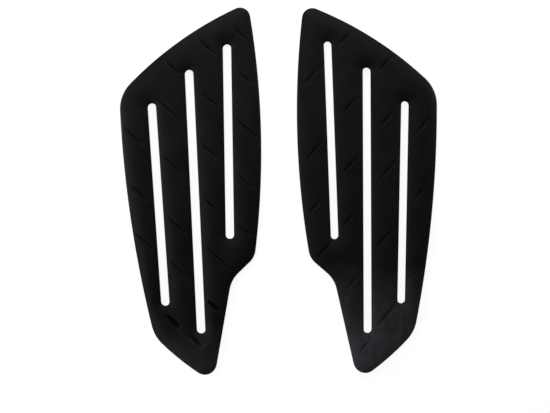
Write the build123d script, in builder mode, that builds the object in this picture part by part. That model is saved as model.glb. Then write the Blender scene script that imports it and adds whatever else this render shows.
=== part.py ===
from build123d import *
from math import atan, degrees
import os

# A handed pair of slotted rubber traction pads, lying face up side by side.
#
# Each pad is one rubber moulding with three long slots, four rounded ribs and slanted tread
# grooves. Foam tape fills a shallow pocket in its back, and a release liner in two halves,
# split across the middle, covers the tape until the pad is stuck down.
#
# A pad is drawn in its own frame: the middle slot runs along Y through the origin, the head is
# towards +Y, and the outer edge of the left pad is towards -X. The right pad has the mirrored
# outline, with slightly narrower slots and a tread of its own. The origin of the pair is at the
# bottom centre of its box. Lengths are in millimetres and angles in degrees.

# Which way X runs across a pad.
LEFT = 1
RIGHT = -1

# Outline of the left pad: its corners clockwise, each with its radius and with how far the
# edge that leaves it bulges outwards.
CORNERS = (
    ((39.3, 124.0), 6.5, 6.1),  # tip of the head
    ((36.0, -36.5), 12.0, 0.0),  # outer corner of the step
    ((20.6, -50.0), 19.5, 0.0),  # inner corner of the step
    ((6.4, -114.0), 7.5, 1.7),  # tip of the tail
    ((-29.6, -83.0), 23.5, 4.1),  # shoulder of the tail
    ((-44.5, 69.6), 23.0, 5.6),  # shoulder of the head
)

# Slots, as the centres of their round ends, tail end first, and their width.
SLOTS = {
    LEFT: (
        ((-21.8, -61.8), (-24.5, 61.1), 5.5),
        ((0.0, -80.4), (0.0, 81.2), 5.5),
        ((21.0, -21.5), (24.7, 96.3), 5.3),
    ),
    RIGHT: (
        ((-21.5, -62.9), (-24.5, 60.0), 5.0),
        ((-0.2, -81.5), (-0.4, 81.4), 5.1),
        ((20.4, -22.1), (24.2, 98.2), 4.8),
    ),
}

# The stack, from the surface that it lies on upwards. The tape stands proud of its pocket.
LINER_THICKNESS = 0.2
TAPE_THICKNESS = 1.0
POCKET_DEPTH = 0.7
PAD_THICKNESS = 6.0
PAD_BOTTOM = LINER_THICKNESS + TAPE_THICKNESS - POCKET_DEPTH
PAD_TOP = PAD_BOTTOM + PAD_THICKNESS
RIB_ROUNDING = 3.0

# How far the pieces on the back keep in from the outline and from the slots.
POCKET_MARGIN = 2.2
TAPE_MARGIN = 2.5
LINER_MARGIN = 1.0

# The liner is split in two across the pad, with a hairline of room between the halves.
LINER_SPLIT_Y = 2.0
LINER_SPLIT_GAP = 0.4
LINER_REACH = 300.0

# Tread grooves: V-shaped, round-ended and flat along their floors.
GROOVE_WIDTH = 2.2
GROOVE_FLOOR = 0.5
GROOVE_DEPTH = 1.2
GROOVE_OVERCUT = 0.4
GROOVE_TAPER = degrees(atan((GROOVE_WIDTH - GROOVE_FLOOR) / 2 / GROOVE_DEPTH))

# Middle and length of each groove, one line for each rib from the outer edge inwards, and how
# far the grooves turn from X.
LEFT_SLANT = -45.0
LEFT_TREAD = (
    ((-36.0, 43.5, 17.5), (-33.5, 7.0, 14.5), (-32.5, -23.0, 17.0)),
    ((-9.5, 85.5, 13.5), (-13.0, 59.0, 19.5), (-12.5, 24.5, 16.5), (-11.5, -14.0, 16.5),
     (-11.5, -41.5, 16.0), (-17.0, -74.0, 12.5), (-3.5, -87.0, 11.5)),
    ((12.5, 97.5, 16.5), (12.5, 64.5, 14.5), (11.0, 32.0, 15.5), (11.0, -2.5, 14.0),
     (14.5, -36.5, 24.5), (9.0, -65.5, 10.0)),
    ((34.0, 104.5, 12.5), (35.5, 77.0, 11.0), (35.0, 45.0, 16.5), (32.5, 12.0, 14.0),
     (31.5, -19.5, 11.0)),
)
RIGHT_SLANT = -50.0
RIGHT_TREAD = (
    ((-35.5, 47.0, 14.5), (-33.0, 4.0, 8.5), (-30.5, -45.5, 7.5)),
    ((-12.0, 86.0, 12.0), (-13.0, 51.5, 14.0), (-13.0, 18.5, 15.0), (-11.5, -23.5, 14.5),
     (-12.5, -72.0, 17.5)),
    ((13.0, 102.5, 12.0), (11.0, 59.5, 13.0), (10.5, 22.5, 13.0), (11.0, -11.5, 11.5),
     (9.0, -51.0, 10.0), (2.0, -92.0, 8.5)),
    ((35.0, 78.0, 11.5), (33.0, 31.5, 17.0), (32.5, -3.5, 11.5), (26.5, -30.5, 13.0)),
)

# Where the pads lie: between the middles of their middle slots, and how far each pad leans.
PAD_SPACING = 108.5
RIGHT_PAD_AHEAD = 1.3
LEFT_LEAN = 2.7
RIGHT_LEAN = 0.3


def draw_plan(plan, side, margin=0.0):
    """Draws a pad with its slots in a sketch, with every edge moved in by the margin."""
    with BuildLine() as outline:
        for (start, _, bulge), (end, _, _) in zip(CORNERS, CORNERS[1:] + CORNERS[:1]):
            start, end = (side * start[0], start[1]), (side * end[0], end[1])
            if bulge:
                SagittaArc(start, end, side * bulge)
            else:
                Line(start, end)
    make_face(outline.edges())
    for (x, y), radius, _ in CORNERS:
        fillet(plan.vertices().sort_by_distance((side * x, y))[0], radius)
    if margin:
        inset = offset(amount=-margin, mode=Mode.PRIVATE)
        with BuildLine() as outline:
            for edge in inset.edges():
                if edge.geom_type == GeomType.LINE:
                    Line(edge @ 0, edge @ 1)
                else:
                    ThreePointArc(edge @ 0, edge @ 0.5, edge @ 1)
        make_face(outline.edges(), mode=Mode.REPLACE)
    for (tail_x, tail_y), (head_x, head_y), width in SLOTS[side]:
        middle = (side * (tail_x + head_x) / 2, (tail_y + head_y) / 2)
        head = (side * head_x, head_y)
        SlotCenterPoint(middle, head, width + 2 * margin, mode=Mode.SUBTRACT)


def make_pad(plane, side, tread, slant):
    """The rubber moulding, with its ribs rounded, its grooves and the pocket in its back."""
    with BuildPart() as pad:
        with BuildSketch(plane.offset(PAD_BOTTOM)) as plan:
            draw_plan(plan, side)
        extrude(amount=PAD_THICKNESS)
        fillet(pad.edges().group_by(Axis.Z)[-1], RIB_ROUNDING)
        with BuildSketch(plane.offset(PAD_TOP - GROOVE_DEPTH)):
            for rib in tread:
                for x, y, length in rib:
                    with Locations((side * x, y)):
                        floor_length = length - (GROOVE_WIDTH - GROOVE_FLOOR)
                        SlotOverall(floor_length, GROOVE_FLOOR, rotation=side * slant)
        extrude(amount=GROOVE_DEPTH + GROOVE_OVERCUT, taper=-GROOVE_TAPER, mode=Mode.SUBTRACT)
        with BuildSketch(plane.offset(PAD_BOTTOM)) as pocket:
            draw_plan(pocket, side, POCKET_MARGIN)
        extrude(amount=POCKET_DEPTH, mode=Mode.SUBTRACT)
    return pad


def make_tape(plane, side):
    """The foam tape, from the liner up to the floor of the pocket."""
    with BuildPart() as tape:
        with BuildSketch(plane.offset(LINER_THICKNESS)) as plan:
            draw_plan(plan, side, TAPE_MARGIN)
        extrude(amount=TAPE_THICKNESS)
    return tape


def make_liner(plane, side, end):
    """One half of the release liner: end is 1 for the head and -1 for the tail."""
    with BuildPart() as liner:
        with BuildSketch(plane) as plan:
            draw_plan(plan, side, LINER_MARGIN)
            with Locations((0, LINER_SPLIT_Y + end * (LINER_SPLIT_GAP + LINER_REACH) / 2)):
                Rectangle(LINER_REACH, LINER_REACH, mode=Mode.INTERSECT)
        extrude(amount=LINER_THICKNESS)
    return liner


def pad_planes():
    """The planes of both pads, with the origin in the middle of the pair's box."""
    left = Plane((-PAD_SPACING / 2, 0, 0)).rotated((0, 0, LEFT_LEAN))
    right = Plane((PAD_SPACING / 2, RIGHT_PAD_AHEAD, 0)).rotated((0, 0, RIGHT_LEAN))
    boxes = []
    for plane, side in ((left, LEFT), (right, RIGHT)):
        with BuildSketch(plane) as plan:
            draw_plan(plan, side)
        boxes.append(plan.sketch.bounding_box())
    middle = boxes[0].add(boxes[1]).center()
    shift = Location((-middle.X, -middle.Y, 0))
    return Plane(shift * left.location), Plane(shift * right.location)


os.makedirs("parts", exist_ok=True)
left_plane, right_plane = pad_planes()

left_pad = make_pad(left_plane, LEFT, LEFT_TREAD, LEFT_SLANT)
left_pad.part.label = "left_pad"
export_step(left_pad.part, "parts/left_pad.step")

right_pad = make_pad(right_plane, RIGHT, RIGHT_TREAD, RIGHT_SLANT)
right_pad.part.label = "right_pad"
export_step(right_pad.part, "parts/right_pad.step")

for name, plane, side in (("left", left_plane, LEFT), ("right", right_plane, RIGHT)):
    tape = make_tape(plane, side)
    tape.part.label = f"{name}_adhesive"
    export_step(tape.part, f"parts/{name}_adhesive.step")
    for end_name, end in (("head", 1), ("tail", -1)):
        liner = make_liner(plane, side, end)
        liner.part.label = f"{name}_liner_{end_name}"
        export_step(liner.part, f"parts/{name}_liner_{end_name}.step")
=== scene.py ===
from collections import namedtuple
from math import pi, radians

import bpy
import numpy as np
from mathutils import Matrix, Vector
from mathutils.geometry import delaunay_2d_cdt


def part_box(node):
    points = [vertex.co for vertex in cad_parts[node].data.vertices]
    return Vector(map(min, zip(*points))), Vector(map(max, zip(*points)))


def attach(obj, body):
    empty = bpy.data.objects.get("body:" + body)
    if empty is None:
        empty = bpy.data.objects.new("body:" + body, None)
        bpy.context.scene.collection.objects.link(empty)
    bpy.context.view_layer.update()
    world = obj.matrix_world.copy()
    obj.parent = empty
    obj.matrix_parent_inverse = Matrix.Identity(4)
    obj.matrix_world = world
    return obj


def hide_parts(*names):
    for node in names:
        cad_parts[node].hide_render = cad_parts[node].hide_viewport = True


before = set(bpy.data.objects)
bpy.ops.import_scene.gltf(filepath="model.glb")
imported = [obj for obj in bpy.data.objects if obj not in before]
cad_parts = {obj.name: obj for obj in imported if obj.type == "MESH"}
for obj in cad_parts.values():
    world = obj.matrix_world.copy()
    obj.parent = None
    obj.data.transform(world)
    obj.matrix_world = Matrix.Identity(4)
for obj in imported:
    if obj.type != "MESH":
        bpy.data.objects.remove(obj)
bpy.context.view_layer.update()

# A left and a right stick-on traction pad of black rubber, face up on a white table.
#
# The two mouldings are made here in full: their ribs are crowned, their edges are rolled and
# their grooves are lens-shaped. A crown is a height that depends on how far a point is from
# every edge at once, which no modelling tool shapes, so each moulding's faces are laid out in
# plan first and then lifted by that rule. The tape and the liner start from the frame's own
# solids, and get the edges and finishes of cut foam and cut paper.

# ---- Driving dimensions, in millimetres, in a pad's own frame -------------------------------
# The middle slot runs along Y through the origin, and the head is towards +Y.

MM = 0.001

# Corners of the outline clockwise, each with its radius and how far the edge after it bulges.
Corner = namedtuple("Corner", "place radius bulge")
CORNERS = (
    Corner(39.3 + 124.0j, 6.5, 6.1),  # tip of the head
    Corner(36.0 - 36.5j, 12.0, 0.0),  # outer corner of the step
    Corner(20.6 - 50.0j, 19.5, 0.0),  # inner corner of the step
    Corner(6.4 - 114.0j, 7.5, 1.7),  # tip of the tail
    Corner(-29.6 - 83.0j, 23.5, 4.1),  # shoulder of the tail
    Corner(-44.5 + 69.6j, 23.0, 5.6),  # shoulder of the head
)
NEARLY_STRAIGHT = 0.001  # the least bulge, so that every edge is an arc

# Slots: the centres of their round ends, and their width.
Slot = namedtuple("Slot", "tail head width")
LEFT_SLOTS = (
    Slot(-21.8 - 61.8j, -24.5 + 61.1j, 5.5),
    Slot(0.0 - 80.4j, 0.0 + 81.2j, 5.5),
    Slot(21.0 - 21.5j, 24.7 + 96.3j, 5.3),
)
RIGHT_SLOTS = (
    Slot(-21.5 - 62.9j, -24.5 + 60.0j, 5.0),
    Slot(-0.2 - 81.5j, -0.4 + 81.4j, 5.1),
    Slot(20.4 - 22.1j, 24.2 + 98.2j, 4.8),
)

# Heights above the table.
PAD_BOTTOM, POCKET_FLOOR, PAD_TOP = 0.5, 1.2, 6.5

# The crown of the ribs: its height, how far in from an edge it goes on rising, and how widely the
# crowns of two edges blend.
CROWN_HEIGHT, CROWN_REACH, CROWN_BLEND = 2.0, 8.6, 3.0

# The rolled edge of the face, the rolled rim of the back, and the pocket in the back.
EDGE_RADIUS, RIM_RADIUS = 0.9, 0.3
POCKET_MARGIN, POCKET_DRAFT = 2.2, 0.06
EDGE_TOP = PAD_TOP - CROWN_HEIGHT - EDGE_RADIUS

# Points closer than a seam are one point. Edges sharper than the angle, in degrees, stay sharp.
SEAM, SHARP_ANGLE = 0.002, 50

# How far in from every edge the rows of points lie, on the face and on the back.
FACE_ROWS = (0.0, 0.05, 0.2, 0.45, 0.75, 1.05, 1.6, 2.3)
BACK_ROWS = (0.0, 0.03, 0.12, 0.3, 1.2, POCKET_MARGIN, POCKET_MARGIN + POCKET_DRAFT, 3.0)
WALL_ROWS = (3.0, 2.0, 1.3)
ROW_SPACING, SLOT_END_SPACING, FACE_SPACING, BACK_SPACING = 0.9, 0.35, 1.7, 6.0
GROOVE_CLEARANCE = 0.2

# Walls of the grooves: their slope, the shares of the half-width that the rounded lip and the
# rounded floor take, and how far the floor keeps from the middle, so that one wall is gentler.
STEEPNESS, LIP, FLOOR, LEAN = 0.62, 0.16, 0.25, 0.3

# Blunt grooves are steeper, by up to this share, and wider towards their lower ends.
BLUNT_STEEPER, BLUNT_SWELL = 0.5, 0.3

# Grooves: the middle and length of each, and where it isn't the usual one, its width and how
# blunt its ends are, from 0 for a pointed lens to 1 for an ellipse.
Groove = namedtuple("Groove", "place length width blunt", defaults=(2.0, 0.3))
Pad = namedtuple("Pad", "name side lean slots slant grooves")

LEFT_GROOVES = (
    Groove(-36.0 + 43.5j, 17.5), Groove(-33.5 + 7.0j, 14.5), Groove(-32.5 - 23.0j, 17.0),
    Groove(-9.5 + 85.5j, 13.5), Groove(-13.0 + 59.0j, 19.5, 2.2), Groove(-12.5 + 24.5j, 16.5),
    Groove(-11.5 - 14.0j, 16.5), Groove(-11.5 - 41.5j, 16.0), Groove(-17.0 - 74.0j, 12.5, 4.2, 1.0),
    Groove(-3.5 - 87.0j, 11.5, 3.2, 1.0),
    Groove(12.5 + 97.5j, 16.5), Groove(12.5 + 64.5j, 14.5), Groove(11.0 + 32.0j, 15.5),
    Groove(11.0 - 2.5j, 14.0), Groove(14.5 - 36.5j, 24.5, 2.4), Groove(9.0 - 65.5j, 10.0, 3.2, 1.0),
    Groove(34.0 + 104.5j, 12.5), Groove(35.5 + 77.0j, 11.0), Groove(35.0 + 45.0j, 17.0),
    Groove(32.5 + 12.0j, 14.0), Groove(31.5 - 19.5j, 11.0),
)
RIGHT_GROOVES = (
    Groove(-35.5 + 47.0j, 14.5), Groove(-33.0 + 4.0j, 8.5, 1.8), Groove(-30.5 - 45.5j, 7.5, 1.5),
    Groove(-12.0 + 86.0j, 12.0, 1.6), Groove(-13.0 + 51.5j, 14.0), Groove(-13.0 + 18.5j, 15.0, 2.2),
    Groove(-11.5 - 23.5j, 14.5), Groove(-12.5 - 72.0j, 17.5, 2.8),
    Groove(13.0 + 102.5j, 12.0, 1.6), Groove(11.0 + 59.5j, 13.0), Groove(10.5 + 22.5j, 13.0, 2.2),
    Groove(11.0 - 11.5j, 11.5), Groove(9.0 - 51.0j, 10.0, 1.8), Groove(2.0 - 92.0j, 8.5),
    Groove(35.0 + 78.0j, 11.5), Groove(33.0 + 31.5j, 17.0), Groove(32.5 - 3.5j, 11.5),
    Groove(26.5 - 30.5j, 13.0, 2.5),
)
PADS = (
    Pad("left", 1, 2.7, LEFT_SLOTS, -45.0, LEFT_GROOVES),
    Pad("right", -1, 0.3, RIGHT_SLOTS, -50.0, RIGHT_GROOVES),
)


# ---- Plan of a pad: points are complex numbers, x + yj ---------------------------------------

def unit(z):
    return z / abs(z)


def edge_circle(corner, following):
    """Centre and radius of the arc from one corner to the next, clockwise."""
    chord = following.place - corner.place
    bulge = max(corner.bulge, NEARLY_STRAIGHT)
    radius = (abs(chord) ** 2 / 4 + bulge ** 2) / (2 * bulge)
    middle = (corner.place + following.place) / 2
    return middle + 1j * unit(chord) * (bulge - radius), radius


def crossing(centre_a, radius_a, centre_b, radius_b, near):
    """Where two circles cross, at the crossing nearest to a given point."""
    apart = abs(centre_b - centre_a)
    along = (apart ** 2 + radius_a ** 2 - radius_b ** 2) / (2 * apart)
    across = max(radius_a ** 2 - along ** 2, 0) ** 0.5
    way = unit(centre_b - centre_a)
    return min((centre_a + way * (along + side * across * 1j) for side in (1, -1)),
               key=lambda z: abs(z - near))


def arc_points(centre, start, end, spacing):
    """Points from start towards end on the shorter arc, and their directions from the centre."""
    turn = np.angle((end - centre) / (start - centre))
    count = max(2, round(abs(turn) * abs(start - centre) / spacing))
    ways = unit(start - centre) * np.exp(1j * turn * np.arange(count) / count)
    return centre + abs(start - centre) * ways, ways


def outline_loop(spacing):
    """The rounded outline: points clockwise, and the direction into the rubber at each."""
    circles = [edge_circle(a, b) for a, b in zip(CORNERS, CORNERS[1:] + CORNERS[:1])]
    corners = []
    for index, corner in enumerate(CORNERS):
        (before, radius_before), (after, radius_after) = circles[index - 1], circles[index]
        turn = (CORNERS[(index + 1) % len(CORNERS)].place - corner.place) / (
            corner.place - CORNERS[index - 1].place)
        outward = -1 if turn.imag < 0 else 1
        middle = crossing(before, radius_before + outward * corner.radius,
                          after, radius_after + outward * corner.radius, corner.place)
        neighbours = ((before, radius_before), (after, radius_after))
        tangents = [centre + unit(middle - centre) * radius for centre, radius in neighbours]
        corners.append((middle, tangents, outward))
    places, inwards = [], []
    for index, (middle, (start, end), outward) in enumerate(corners):
        points, ways = arc_points(middle, start, end, spacing)
        places.append(points)
        inwards.append(outward * ways)
        next_start = corners[(index + 1) % len(corners)][1][0]
        points, ways = arc_points(circles[index][0], end, next_start, spacing)
        places.append(points)
        inwards.append(-ways)
    return np.concatenate(places), np.concatenate(inwards)


def slot_loop(slot, spacing):
    """The edge of a slot, and the direction into the rubber at each point."""
    tail, head, radius = slot.tail, slot.head, slot.width / 2
    along = unit(head - tail)
    side = along * 1j * radius
    straight = tail + (head - tail) * np.arange(0, 1, spacing / abs(head - tail))
    half_turn = np.exp(-1j * pi * np.arange(0, 1, SLOT_END_SPACING / (pi * radius)))
    rounded = 1j * along * half_turn
    places = [straight + side, head + radius * rounded,
              head + tail - straight - side, tail - radius * rounded]
    inwards = [np.full(straight.shape, 1j * along), rounded,
               np.full(straight.shape, -1j * along), -rounded]
    return np.concatenate(places), np.concatenate(inwards)


OUTLINE, OUTLINE_INWARDS = outline_loop(ROW_SPACING)


def edge_loops(pad):
    return [(OUTLINE, OUTLINE_INWARDS)] + [slot_loop(slot, ROW_SPACING) for slot in pad.slots]


def outline_distance(points):
    """How far inside the outline each point is, below zero outside it."""
    start, end = OUTLINE, np.roll(OUTLINE, -1)
    distances = np.empty(len(points))
    for first in range(0, len(points), 2000):
        part = points[first:first + 2000, None]
        share = ((part - start) / (end - start)).real.clip(0, 1)
        gaps = part - start - share * (end - start)
        nearest = np.abs(gaps).argmin(1)
        rows = np.arange(len(part))
        inside = (gaps[rows, nearest] * np.conj(OUTLINE_INWARDS[nearest])).real
        distances[first:first + 2000] = np.abs(gaps[rows, nearest]) * np.sign(inside)
    return distances


def slot_distance(points, slot):
    """How far each point is from a slot's edge, below zero inside the slot."""
    length = slot.head - slot.tail
    share = ((points - slot.tail) / length).real.clip(0, 1)
    return np.abs(points - slot.tail - share * length) - slot.width / 2


def edge_distances(pad, points):
    return [outline_distance(points)] + [slot_distance(points, slot) for slot in pad.slots]


def softer_least(a, b, blend):
    """The lesser of two distances, with the crease where they are equal rounded off."""
    closeness = np.maximum(blend - np.abs(a - b), 0)
    return np.minimum(a, b) - closeness ** 2 / (4 * blend)


def fillet_drop(distance, radius):
    """How far a rolled edge falls away, at a distance in from that edge."""
    inner = np.clip(radius - distance, 0, radius)
    return radius - np.sqrt(radius ** 2 - inner ** 2)


def least(distances):
    """The least of the distances, and just nothing on the edges themselves."""
    nearest = np.min(distances, 0)
    return np.where(nearest < SEAM, 0, nearest)


# ---- Grooves ---------------------------------------------------------------------------------

def groove_way(pad):
    return np.exp(1j * radians(pad.slant))


def lens(groove, station):
    """A groove's half-width at a station, from -1 at its upper end to 1 at its lower end."""
    fall = np.clip(1 - station ** 2, 0, 1)
    pointed = fall * (1 - groove.blunt) + fall ** 0.5 * groove.blunt
    return groove.width / 2 * pointed * (1 + BLUNT_SWELL * groove.blunt * station)


def wall_width(pad, groove, side):
    """How wide one wall is, in half-widths: the wall towards the right of the pair is the wider."""
    return 1 + LEAN * (1 - groove.blunt) * pad.side * side


def groove_drop(pad, groove, points):
    """How deep the groove is below the crown at each point: a V with soft lips and floor."""
    own = (points - groove.place) / groove_way(pad)
    station = own.real / (groove.length / 2)
    half_width = np.maximum(lens(groove, station), 1e-6)
    upper, lower = wall_width(pad, groove, 1), wall_width(pad, groove, -1)
    across = own.imag / half_width + upper - 1
    share = np.abs(across) / np.where(across > 0, upper, lower)
    rise = 1 - share
    wall = np.where(rise > LIP, rise, np.clip(rise + LIP, 0, None) ** 2 / (4 * LIP))
    reach = FLOOR * (1 + groove.blunt)
    floor = 1 - reach / 2 - share ** 2 / (2 * reach)
    profile = np.where(share < reach, floor, wall)
    steepness = STEEPNESS * (1 + BLUNT_STEEPER * groove.blunt ** 2)
    return np.where(np.abs(station) < 1, 2 * steepness * half_width * profile, 0)


# Where the points of a groove lie: stations along it, closer together towards its ends, and lines
# across it, from its floor to just outside its lips.
GROOVE_STATIONS = np.sin(np.linspace(-pi / 2, pi / 2, 19))[1:-1]
GROOVE_LINES = (0.0, FLOOR, 0.5, 1 - LIP, 1.0, 1 + LIP)


def groove_points(pad, groove):
    """The two ends of a groove, and the points along its lines."""
    points = [groove.place + way * groove_way(pad) * groove.length / 2 for way in (-1, 1)]
    for share in GROOVE_LINES:
        for side in (1, -1) if share else (1,):
            across = side * share * wall_width(pad, groove, side) + 1 - wall_width(pad, groove, 1)
            own = GROOVE_STATIONS * groove.length / 2 + 1j * across * lens(groove, GROOVE_STATIONS)
            points.extend(groove.place + own * groove_way(pad))
    return np.array(points)


def beside_groove(pad, groove, points, room):
    """Which points are in a groove or within this much room of it."""
    own = (points - groove.place) / groove_way(pad)
    nearest = own.real.clip(-groove.length / 2, groove.length / 2)
    return np.abs(own - nearest) < room + groove.width / 2


# ---- The two sheets and the wall of a moulding -----------------------------------------------

def row_points(pad, offsets):
    """Closed rows of points along every edge, and the edges that join them."""
    points, edges = [], []
    for places, inwards in edge_loops(pad):
        for offset in offsets:
            first = len(points)
            points.extend(places + inwards * offset)
            count = len(places)
            edges += [(first + i, first + (i + 1) % count) for i in range(count)]
    return np.array(points), edges


def grid_points(pad, spacing, clear):
    """Points in staggered rows, wherever they are clear of every edge."""
    rows = np.arange(OUTLINE.imag.min(), OUTLINE.imag.max(), spacing * 3 ** 0.5 / 2)
    columns = np.arange(OUTLINE.real.min(), OUTLINE.real.max(), spacing)
    grid = np.array([x + spacing / 2 * (i % 2) + 1j * y for i, y in enumerate(rows) for x in columns])
    return grid[np.min(edge_distances(pad, grid), 0) > clear]


def sheet(pad, points, edges):
    """Triangles over the plan of the pad through all the points: the points and the triangles."""
    flat = [Vector((z.real, z.imag)) for z in points]
    corners, _, faces, *_ = delaunay_2d_cdt(flat, edges, [], 0, 1e-5, False)
    places = np.array([complex(*v) for v in corners])
    middles = np.array([places[list(face)].mean() for face in faces])
    inside = np.min(edge_distances(pad, middles), 0) > 0
    return places, [tuple(face) for face, kept in zip(faces, inside) if kept]


def face_height(pad, points):
    """The crowned, rolled and grooved face of the moulding."""
    distances = edge_distances(pad, points)
    nearest = least(distances)
    soft = distances[0]
    for distance in distances[1:]:
        soft = softer_least(soft, distance, CROWN_BLEND)
    crown = CROWN_HEIGHT * (1 - (soft / CROWN_REACH).clip(0, 1)) ** 2
    height = PAD_TOP - crown - fillet_drop(nearest, EDGE_RADIUS)
    for groove in pad.grooves:
        height -= groove_drop(pad, groove, points)
    return height


def back_height(pad, points):
    """The back of the moulding: a rolled rim around the pocket for the tape."""
    nearest = least(edge_distances(pad, points))
    rim = PAD_BOTTOM + fillet_drop(nearest, RIM_RADIUS)
    into_pocket = ((nearest - POCKET_MARGIN) / POCKET_DRAFT).clip(0, 1)
    return rim + (POCKET_FLOOR - PAD_BOTTOM) * into_pocket


def face_sheet(pad):
    """The face: points, heights and triangles, with every groove's own points in it."""
    points, edges = row_points(pad, FACE_ROWS)
    grid = grid_points(pad, FACE_SPACING, FACE_ROWS[-1] + FACE_SPACING / 2)
    pieces = [points]
    for groove in pad.grooves:
        grid = grid[~beside_groove(pad, groove, grid, FACE_SPACING / 3)]
        lines = groove_points(pad, groove)
        clear = np.min(edge_distances(pad, lines), 0) > FACE_ROWS[-1] + GROOVE_CLEARANCE
        pieces.append(lines[clear])
    places, faces = sheet(pad, np.concatenate(pieces + [grid]), edges)
    return places, face_height(pad, places), faces


def back_sheet(pad):
    """The back: points, heights and triangles that face down."""
    points, edges = row_points(pad, BACK_ROWS)
    grid = grid_points(pad, BACK_SPACING, BACK_ROWS[-1] + BACK_SPACING / 2)
    places, faces = sheet(pad, np.concatenate([points, grid]), edges)
    return places, back_height(pad, places), [face[::-1] for face in faces]


def wall_faces(first, count, rows):
    """Squares between rows of points that run round one edge."""
    for row in range(rows - 1):
        for i in range(count):
            j = (i + 1) % count
            low, high = first + row * count, first + (row + 1) * count
            yield low + i, low + j, high + j, high + i


def wall_sheet(pad, top, bottom):
    """The upright wall round the outline and round every slot."""
    places, heights, faces = [], [], []
    levels = (top,) + WALL_ROWS + (bottom,)
    for points, _ in edge_loops(pad):
        first = len(places)
        for level in levels:
            places.extend(points)
            heights.extend([level] * len(points))
        faces.extend(wall_faces(first, len(points), len(levels)))
    return np.array(places), np.array(heights), faces


# ---- Placing and finishing meshes ------------------------------------------------------------

def pad_matrix(pad):
    """From a pad's own frame, in millimetres, to the pair's frame, in metres."""
    turned = OUTLINE.real * pad.side + 1j * OUTLINE.imag
    turned = turned * np.exp(1j * radians(pad.lean))
    middle = complex(turned.real.min() + turned.real.max(), turned.imag.min() + turned.imag.max()) / 2
    low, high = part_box(f"{pad.name}_pad")
    centre = (low + high) / 2
    move = Matrix.Translation((centre.x - middle.real * MM, centre.y - middle.imag * MM, 0))
    mirror = Matrix.Diagonal((pad.side * MM, MM, MM, 1))
    return move @ Matrix.Rotation(radians(pad.lean), 4, "Z") @ mirror


def pick(*pieces):
    """Selects only these pieces and makes the first one active."""
    bpy.ops.object.select_all(action="DESELECT")
    for piece in pieces:
        piece.select_set(True)
    bpy.context.view_layer.objects.active = pieces[0]


def new_piece(name, places, heights, faces, matrix):
    mesh = bpy.data.meshes.new(name)
    mesh.from_pydata([(z.real, z.imag, h) for z, h in zip(places, heights)], [], faces)
    mesh.transform(matrix)
    piece = bpy.data.objects.new(name, mesh)
    bpy.context.scene.collection.objects.link(piece)
    return piece


def close_and_smooth(piece, merge, angle):
    """Joins the seams, points every face outwards and shades smoothly up to an angle."""
    pick(piece)
    bpy.ops.object.mode_set(mode="EDIT")
    bpy.ops.mesh.select_all(action="SELECT")
    bpy.ops.mesh.remove_doubles(threshold=merge)
    bpy.ops.mesh.normals_make_consistent(inside=False)
    bpy.ops.object.mode_set(mode="OBJECT")
    bpy.ops.object.shade_smooth_by_angle(angle=radians(angle))


def moulding(pad):
    """The rubber pad: its crowned face, its upright walls and its hollowed back."""
    matrix = pad_matrix(pad)
    face, back = face_sheet(pad), back_sheet(pad)
    walls = wall_sheet(pad, EDGE_TOP, PAD_BOTTOM + RIM_RADIUS)
    sheets = [new_piece(f"{pad.name}_{part}", *shape, matrix)
              for part, shape in (("moulding", face), ("back", back), ("walls", walls))]
    pick(*sheets)
    bpy.ops.object.join()
    close_and_smooth(sheets[0], SEAM * MM, SHARP_ANGLE)
    return sheets[0]


def cut_sheet(node, name, rounding):
    """A piece cut from sheet, from its solid in the frame, with its cut edges eased."""
    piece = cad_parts[node].copy()
    piece.data = piece.data.copy()
    piece.name = piece.data.name = name
    # The copy is a piece of its own, so it drops the marks of the frame's node.
    for key in [key for key in piece.keys() if key.startswith("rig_")]:
        del piece[key]
    piece.parent = None
    bpy.context.scene.collection.objects.link(piece)
    piece.data.materials.clear()
    pick(piece)
    bpy.ops.object.mode_set(mode="EDIT")
    bpy.ops.mesh.select_all(action="SELECT")
    bpy.ops.mesh.remove_doubles(threshold=SEAM * MM)
    bpy.ops.mesh.normals_make_consistent(inside=False)
    bpy.ops.mesh.dissolve_limited(angle_limit=radians(1))
    bpy.ops.mesh.select_all(action="DESELECT")
    bpy.ops.object.mode_set(mode="OBJECT")
    bevel = piece.modifiers.new("eased edges", "BEVEL")
    bevel.width, bevel.segments, bevel.limit_method = rounding * MM, 2, "ANGLE"
    bevel.angle_limit = radians(60)
    bpy.ops.object.modifier_apply(modifier=bevel.name)
    bpy.ops.object.shade_smooth_by_angle(angle=radians(SHARP_ANGLE))
    return piece


# ---- Materials -------------------------------------------------------------------------------

class Value:
    """A socket that sums can be written with: each operator adds its own Math node."""

    def __init__(self, finish, socket):
        self.finish, self.socket = finish, socket

    def _math(self, operation, *values):
        return self.finish.node("ShaderNodeMath", {"operation": operation}, dict(enumerate(values)))

    def __add__(self, other):
        return self._math("ADD", self, other)

    def __sub__(self, other):
        return self._math("SUBTRACT", self, other)

    def __rsub__(self, other):
        return self._math("SUBTRACT", other, self)

    def __mul__(self, other):
        return self._math("MULTIPLY", self, other)

    def __gt__(self, other):
        return self._math("GREATER_THAN", self, other)

    __radd__ = __add__
    __rmul__ = __mul__


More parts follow.
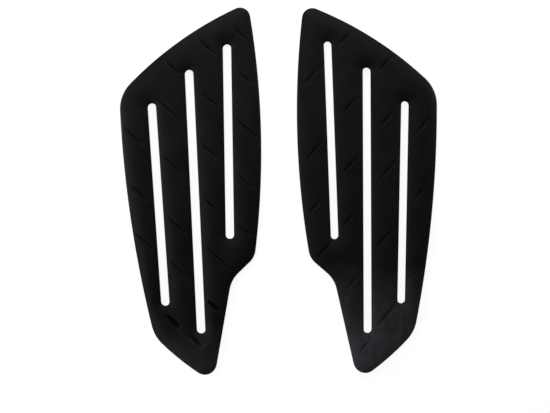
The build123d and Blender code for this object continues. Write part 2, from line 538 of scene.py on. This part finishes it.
class Finish:
    """A material with one Principled shader, and the nodes that feed it."""

    def __init__(self, name, **constants):
        self.material = bpy.data.materials.new(name)
        self.material.use_nodes = True
        self.tree = self.material.node_tree
        self.shader = self.tree.nodes["Principled BSDF"]
        for socket, value in constants.items():
            self.shader.inputs[socket.replace("_", " ")].default_value = value

    def node(self, kind, settings, inputs, output=0):
        """Adds one node: its settings first, then the values or links of its sockets."""
        node = self.tree.nodes.new(kind)
        for key, value in settings.items():
            if key == "stops":
                self._set_stops(node.color_ramp, value)
            else:
                setattr(node, key, value)
        for socket, value in inputs.items():
            if isinstance(value, Value):
                self.tree.links.new(value.socket, node.inputs[socket])
            else:
                node.inputs[socket].default_value = value
        return Value(self, node.outputs[output])

    @staticmethod
    def _set_stops(ramp, stops):
        for element, (place, shade) in zip(ramp.elements, stops):
            element.position, element.color = place, (shade, shade, shade, 1)

    def place(self):
        """Where a point is on the piece, in millimetres."""
        metres = self.node("ShaderNodeTexCoord", {}, {}, "Object")
        return self.node("ShaderNodeVectorMath", {"operation": "SCALE"}, {0: metres, "Scale": 1 / MM})

    def stretched(self, place, times):
        """The place, with whatever it feeds stretched along the pads."""
        settings = {"operation": "MULTIPLY"}
        return self.node("ShaderNodeVectorMath", settings, {0: place, 1: (1, 1 / times, 1)})

    def noise(self, place, size, detail=2.0, roughness=0.5):
        """Noise whose features are about this many millimetres across."""
        inputs = {"Vector": place, "Scale": 1 / size, "Detail": detail, "Roughness": roughness}
        return self.node("ShaderNodeTexNoise", {}, inputs)

    def cells(self, place, size):
        """Distance from the nearest of many scattered points, and each point's own shade."""
        return self.node("ShaderNodeTexVoronoi", {}, {"Vector": place, "Scale": 1 / size})

    def ramp(self, value, low, high):
        """0 below low, 1 above high and straight between them."""
        return self.node("ShaderNodeMapRange", {"clamp": True},
                         {"Value": value, "From Min": low, "From Max": high})

    def mix(self, share, first, second):
        settings = {"data_type": "RGBA"}
        return self.node("ShaderNodeMix", settings, {0: share, 6: first, 7: second}, 2)

    def bump(self, height, depth):
        """A bump of a height from 0 to 1 that is this many millimetres deep."""
        return self.node("ShaderNodeBump", {}, {"Height": height, "Distance": depth * MM})

    def feed(self, socket, value):
        self.tree.links.new(value.socket, self.shader.inputs[socket])


# The painted highlight at the tails: how ragged its edge is, how far from the middle of the pair it
# starts on the left pad and how much sooner on the right one, and where it is full.
HIGHLIGHT_RAGGEDNESS = 26.0
HIGHLIGHT_START, HIGHLIGHT_SOONER, HIGHLIGHT_FULL = 84.0, 40.0, 108.0


def painted_tail_highlight(finish, place):
    """A painted highlight: whitish at the tails, and stronger on the right pad."""
    across = finish.node("ShaderNodeSeparateXYZ", {}, {"Vector": place}, "X")
    along = finish.node("ShaderNodeSeparateXYZ", {}, {"Vector": place}, "Y")
    ragged = along + HIGHLIGHT_RAGGEDNESS * finish.noise(place, 24.0, 3.0) - HIGHLIGHT_RAGGEDNESS / 2
    right = finish.ramp(across, -10.0, 10.0)
    start = HIGHLIGHT_START - HIGHLIGHT_SOONER * right
    return finish.ramp(-1 * ragged, start, HIGHLIGHT_FULL) * (0.4 + 0.55 * right)


def rubber():
    """Matt, soft-touch black rubber: a fine grain, faint smears, a painted highlight at the tails and
    a little dust.
    """
    finish = Finish("matt black rubber", Specular_IOR_Level=0.4, Sheen_Weight=0.1,
                    Sheen_Roughness=0.4)
    place = finish.place()
    smears = finish.ramp(finish.noise(place, 22.0, 3.0, 0.55), 0.38, 0.66)
    mottle = finish.ramp(finish.noise(place, 2.6, 4.0, 0.65), 0.36, 0.66)
    dull = smears * 0.6 + mottle * 0.4
    black = finish.mix(dull, (0.0088, 0.0104, 0.0144, 1), (0.0184, 0.0212, 0.0280, 1))
    # The tails get a painted highlight: a whitish colour, streaked along the pads and mottled, mixed
    # over the black.
    highlight_streaks = finish.ramp(finish.noise(finish.stretched(place, 5.0), 4.0, 3.0), 0.35, 0.65)
    highlight = painted_tail_highlight(finish, place) * (0.55 + 0.2 * mottle + 0.3 * highlight_streaks)
    highlighted = finish.mix(highlight, black, (0.18, 0.190, 0.212, 1))
    between_specks = finish.cells(place, 7.0) > 0.045
    dust = (1 - between_specks) * finish.ramp(finish.noise(place, 9.0), 0.5, 0.6)
    finish.feed("Base Color", finish.mix(dust, highlighted, (0.09, 0.092, 0.096, 1)))
    finish.feed("Roughness", 0.46 + 0.1 * dull)
    grain = finish.noise(place, 0.45, 2.0, 0.6) * 0.7 + finish.noise(place, 1.6, 2.0) * 0.3
    finish.feed("Normal", finish.bump(grain, 0.035))
    return finish.material


def foam():
    """Dark closed-cell foam with its cut cells showing."""
    finish = Finish("dark grey foam tape", Specular_IOR_Level=0.3)
    place = finish.place()
    pores = finish.ramp(finish.cells(place, 0.32), 0.1, 0.5)
    patches = finish.ramp(finish.noise(place, 9.0, 3.0), 0.35, 0.65)
    grey = finish.mix(patches, (0.045, 0.046, 0.049, 1), (0.065, 0.066, 0.069, 1))
    finish.feed("Base Color", finish.mix(pores, (0.025, 0.025, 0.027, 1), grey))
    finish.feed("Roughness", 0.92 - 0.15 * patches)
    finish.feed("Normal", finish.bump(pores, 0.08))
    return finish.material


def release_paper():
    """Pale release paper: cloudy fibres and a thin silicone shine."""
    finish = Finish("pale release paper", Coat_Roughness=0.35, Specular_IOR_Level=0.4)
    place = finish.place()
    clouds = finish.ramp(finish.noise(place, 6.0, 4.0, 0.6), 0.35, 0.65)
    fibres = finish.noise(place, 0.7, 4.0, 0.7)
    cream = finish.mix(clouds, (0.80, 0.78, 0.71, 1), (0.88, 0.86, 0.80, 1))
    finish.feed("Base Color", cream)
    finish.feed("Roughness", 0.42 + 0.2 * fibres)
    finish.feed("Coat Weight", 0.25 + 0.15 * clouds)
    finish.feed("Normal", finish.bump(fibres, 0.02))
    return finish.material


def white_table():
    """A white table that glows a little, as one lit from below for a catalogue does."""
    finish = Finish("white table", Roughness=0.6, Specular_IOR_Level=0.2, Emission_Strength=0.9)
    finish.shader.inputs["Emission Color"].default_value = (1, 1, 1, 1)
    shade = finish.noise(finish.place(), 400.0)
    finish.feed("Base Color", finish.mix(shade, (0.83, 0.83, 0.83, 1), (0.86, 0.86, 0.86, 1)))
    return finish.material


def paint(piece, material):
    piece.data.materials.clear()
    piece.data.materials.append(material)


# ---- The pieces ------------------------------------------------------------------------------

rubber_finish, foam_finish, paper_finish = rubber(), foam(), release_paper()

for pad in PADS:
    body = f"{pad.name}_pad"
    rubber_piece = moulding(pad)
    paint(rubber_piece, rubber_finish)
    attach(rubber_piece, body)
    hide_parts(body)

    tape = cut_sheet(f"{pad.name}_adhesive", f"{pad.name}_foam_tape", 0.12)
    paint(tape, foam_finish)
    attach(tape, body)
    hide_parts(f"{pad.name}_adhesive")

    for end in ("head", "tail"):
        node = f"{pad.name}_liner_{end}"
        liner = cut_sheet(node, f"{pad.name}_release_paper_{end}", 0.04)
        paint(liner, paper_finish)
        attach(liner, node)
        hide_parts(node)


# ---- Table, lights and camera ----------------------------------------------------------------

TABLE_RADIUS, RIM_HEIGHT, RIM_SPREAD = 3.0, 1.0, 1.35


def white_bowl():
    """A table that curves up all round, far away, so that it is white in every view."""
    bpy.ops.object.select_all(action="DESELECT")
    bpy.ops.mesh.primitive_circle_add(vertices=96, radius=TABLE_RADIUS, fill_type="NGON",
                                      location=(0, 0, 0))
    table = bpy.context.active_object
    table.name = "table"
    bpy.ops.object.mode_set(mode="EDIT")
    bpy.ops.mesh.select_all(action="SELECT")
    bpy.ops.mesh.inset(thickness=TABLE_RADIUS / 2)
    bpy.ops.mesh.select_all(action="DESELECT")
    bpy.ops.mesh.select_mode(type="EDGE")
    bpy.ops.object.mode_set(mode="OBJECT")
    for edge in table.data.edges:
        middle = sum((table.data.vertices[i].co.to_2d().length for i in edge.vertices)) / 2
        edge.select = middle > TABLE_RADIUS * 0.99
    bpy.ops.object.mode_set(mode="EDIT")
    bpy.ops.mesh.extrude_edges_move(TRANSFORM_OT_translate={"value": (0, 0, RIM_HEIGHT)})
    bpy.ops.transform.resize(value=(RIM_SPREAD, RIM_SPREAD, 1))
    bpy.ops.object.mode_set(mode="OBJECT")
    bevel = table.modifiers.new("curve", "BEVEL")
    bevel.width, bevel.segments = 0.6, 12
    bpy.ops.object.modifier_apply(modifier=bevel.name)
    bpy.ops.object.shade_smooth()
    return table


table = white_bowl()
paint(table, white_table())
table.visible_diffuse = table.visible_glossy = False


def softbox(name, place, size, power):
    """A square soft light that faces the middle of the pair and isn't seen itself."""
    light = bpy.data.lights.new(name, "AREA")
    light.shape, light.size, light.energy = "SQUARE", size, power
    lamp = bpy.data.objects.new(name, light)
    bpy.context.scene.collection.objects.link(lamp)
    lamp.location = place
    lamp.rotation_euler = (-Vector(place)).to_track_quat("-Z", "Y").to_euler()
    lamp.visible_camera = False
    return lamp


softbox("high left softbox", (-0.6, -0.15, 0.5), 0.3, 0.24)
softbox("head softbox", (-0.03, 0.31, 0.25), 0.4, 0.2)
softbox("low left softbox", (-0.4, 0.06, 0.055), 0.2, 0.28)
softbox("low right softbox", (0.34, 0.2, 0.055), 0.2, 0.17)
softbox("low head softbox", (0.0, 0.42, 0.055), 0.3, 0.12)
softbox("tail left softbox", (-0.3, -0.3, 0.17), 0.2, 0.06)

world = bpy.data.worlds.new("studio")
world.use_nodes = True
world.node_tree.nodes["Background"].inputs["Color"].default_value = (1, 1, 1, 1)
world.node_tree.nodes["Background"].inputs["Strength"].default_value = 0.04
bpy.context.scene.world = world
bpy.context.scene.view_settings.view_transform = "Standard"

CAMERA_HEIGHT, LENS, PAIR_MIDDLE = 0.582, 60.0, (-0.00217, -0.00969)
camera_data = bpy.data.cameras.new("overhead camera")
camera_data.lens = LENS
camera_data.sensor_width = 36.0
camera = bpy.data.objects.new("overhead camera", camera_data)
camera.location = (*PAIR_MIDDLE, CAMERA_HEIGHT)
bpy.context.scene.collection.objects.link(camera)
bpy.context.scene.camera = camera
